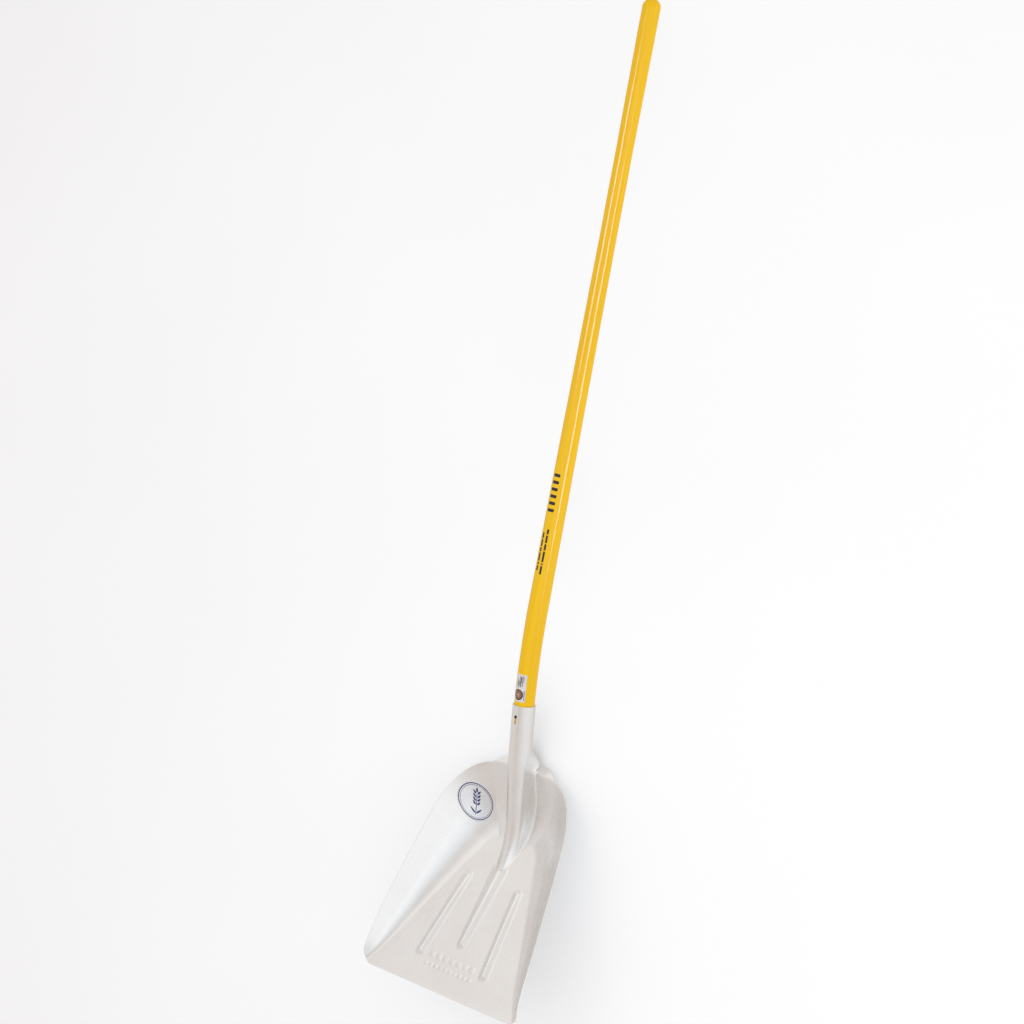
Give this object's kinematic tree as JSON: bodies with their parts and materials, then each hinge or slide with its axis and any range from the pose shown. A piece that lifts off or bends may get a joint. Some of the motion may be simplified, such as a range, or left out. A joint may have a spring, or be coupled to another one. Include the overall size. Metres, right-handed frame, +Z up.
{
  "type": "grain scoop shovel",
  "caption": "Long-handled grain scoop shovel: a deep pressed aluminium scoop with a rolled open-back socket, nailed to a bent, lacquered ash handle with a rounded end.",
  "frame": {"origin": "on the ground, under the middle of the shovel as it lies on its heel and on the end of its handle, open side up", "axes": "+X across the scoop to the right when looking along the handle, +Y from the front edge of the scoop towards the end of the handle, +Z up from the ground"},
  "size_m": [0.373, 1.7652, 0.1593],
  "materials": {
    "sheet": "satin, fine-brushed pressed aluminium sheet",
    "handle_wood": "ash, glossy golden-yellow lacquer",
    "nail_steel": "dull dark steel",
    "paper": "coated paper label",
    "foil": "silver foil sticker"
  },
  "bodies": {
    "root": {"scoop": "sheet", "handle": "handle_wood", "socket_nail": "nail_steel", "handle_label": "paper", "scoop_sticker": "foil"}
  },
  "joints": []
}
